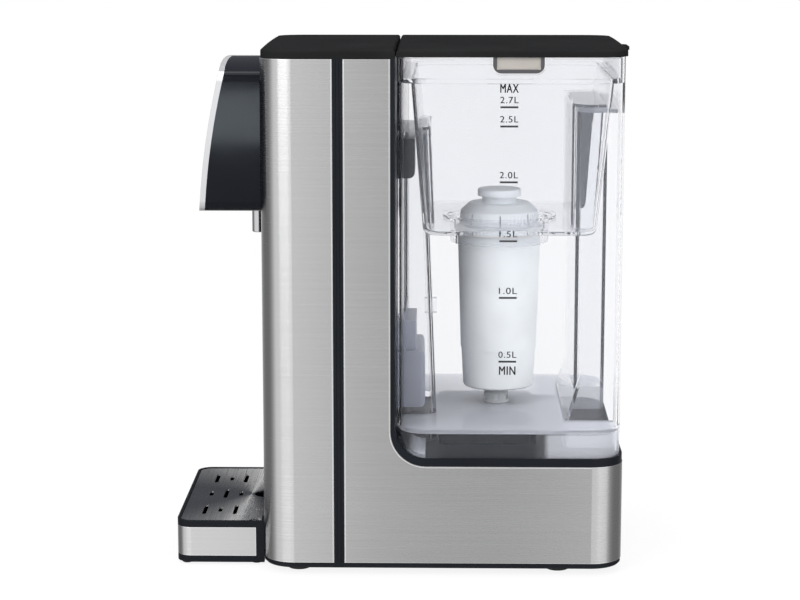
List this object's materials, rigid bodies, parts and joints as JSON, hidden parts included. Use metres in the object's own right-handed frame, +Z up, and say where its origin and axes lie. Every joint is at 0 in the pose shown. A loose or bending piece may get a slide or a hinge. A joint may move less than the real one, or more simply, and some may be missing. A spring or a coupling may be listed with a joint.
{
  "type": "hot water dispenser",
  "caption": "Instant hot water dispenser: steel-clad column with a spout head and touch panel, a drip tray in its cup bay and a lift-off clear tank with funnel and filter.",
  "frame": {"origin": "on the worktop, under the middle of the overall box from tray front to lid tab", "axes": "+X from the drip tray at the front to the tank at the back, +Y across, +Z up"},
  "size_m": [0.2712, 0.172, 0.31],
  "materials": {
    "black_plastic": "satin",
    "gloss_black": "gloss",
    "steel_sheet": "brushed",
    "steel_plate": "brushed",
    "chrome_trim": "polished",
    "panel_glass": "smoked, polished",
    "clear_plastic": "clear moulded plastic",
    "smoked_plastic": "smoked",
    "clear_grey_plastic": "moulded",
    "white_plastic": "moulded",
    "silicone": "soft",
    "foot_rubber": "matte",
    "circuit_board": "coated",
    "dark_components": "matte",
    "zinc_steel": "zinc plated",
    "spring_steel": "drawn wire",
    "cast_aluminium": "as cast"
  },
  "bodies": {
    "body": {"base_pan": "black_plastic", "body_feet": "foot_rubber", "column_shell": "black_plastic", "base_shell": "black_plastic", "front_wrap": "steel_sheet", "rear_wrap": "steel_sheet", "side_strip_left": "black_plastic", "side_strip_right": "black_plastic", "cup_bay": "black_plastic", "top_cover": "black_plastic", "tank_cradle": "black_plastic", "valve_socket": "black_plastic", "head_housing": "gloss_black", "head_bezel": "chrome_trim", "control_glass": "panel_glass", "control_board": "circuit_board", "nozzle": "chrome_trim", "nozzle_elbow": "clear_grey_plastic", "socket_seal": "silicone", "sensor_cover": "smoked_plastic", "sensor_board": "circuit_board", "pump_housing": "white_plastic", "pump_motor": "zinc_steel", "pump_mount": "black_plastic", "flow_heater": "cast_aluminium", "heater_caps": "white_plastic", "thermal_cutouts": "zinc_steel", "heater_clamps": "zinc_steel", "inlet_tube": "silicone", "pump_tube": "silicone", "outlet_tube": "silicone", "power_board": "circuit_board", "board_parts": "dark_components", "cable_gland": "black_plastic", "gland_nut": "black_plastic", "base_screws": "zinc_steel", "head_screws": "zinc_steel"},
    "tank": {"water_tank": "clear_plastic", "valve_body": "white_plastic", "valve_cap": "white_plastic"},
    "valve": {"valve_stem": "white_plastic", "valve_seal": "foot_rubber", "valve_spring": "spring_steel"},
    "funnel": {"filter_funnel": "clear_plastic"},
    "filter": {"filter_cartridge": "white_plastic", "filter_cap": "white_plastic", "filter_gasket": "silicone"},
    "lid": {"tank_lid": "black_plastic", "lid_grips": "smoked_plastic"},
    "tray": {"tray_basin": "black_plastic", "tray_band": "steel_sheet", "tray_feet": "foot_rubber"},
    "grid": {"tray_plate": "steel_plate"},
    "rotor": {"pump_impeller": "white_plastic"}
  },
  "joints": [
    {"name": "tank_lift", "type": "slide", "parent": "body", "child": "tank", "axis": [0, 0, 1], "range_m": [0, 0.2]},
    {"name": "valve_lift", "type": "slide", "parent": "tank", "child": "valve", "axis": [0, 0, 1], "range_m": [0, 0.003], "stiffness_N_per_m": 150, "springref_m": -0.002, "deforming": ["valve_spring"]},
    {"name": "funnel_lift", "type": "slide", "parent": "tank", "child": "funnel", "axis": [0, 0, 1], "range_m": [0, 0.22]},
    {"name": "filter_lift", "type": "slide", "parent": "funnel", "child": "filter", "axis": [0, 0, 1], "range_m": [0, 0.075]},
    {"name": "lid_lift", "type": "slide", "parent": "funnel", "child": "lid", "axis": [0, 0, 1], "range_m": [0, 0.06]},
    {"name": "tray_slide", "type": "slide", "parent": "body", "child": "tray", "axis": [-1, 0, 0], "range_m": [0, 0.08]},
    {"name": "grid_lift", "type": "slide", "parent": "tray", "child": "grid", "axis": [0, 0, 1], "range_m": [0, 0.03]},
    {"name": "pump_spin", "type": "hinge", "parent": "body", "child": "rotor", "pos_m": [-0.02, 0.012, 0.03], "axis": [0, 1, 0], "continuous": true}
  ]
}
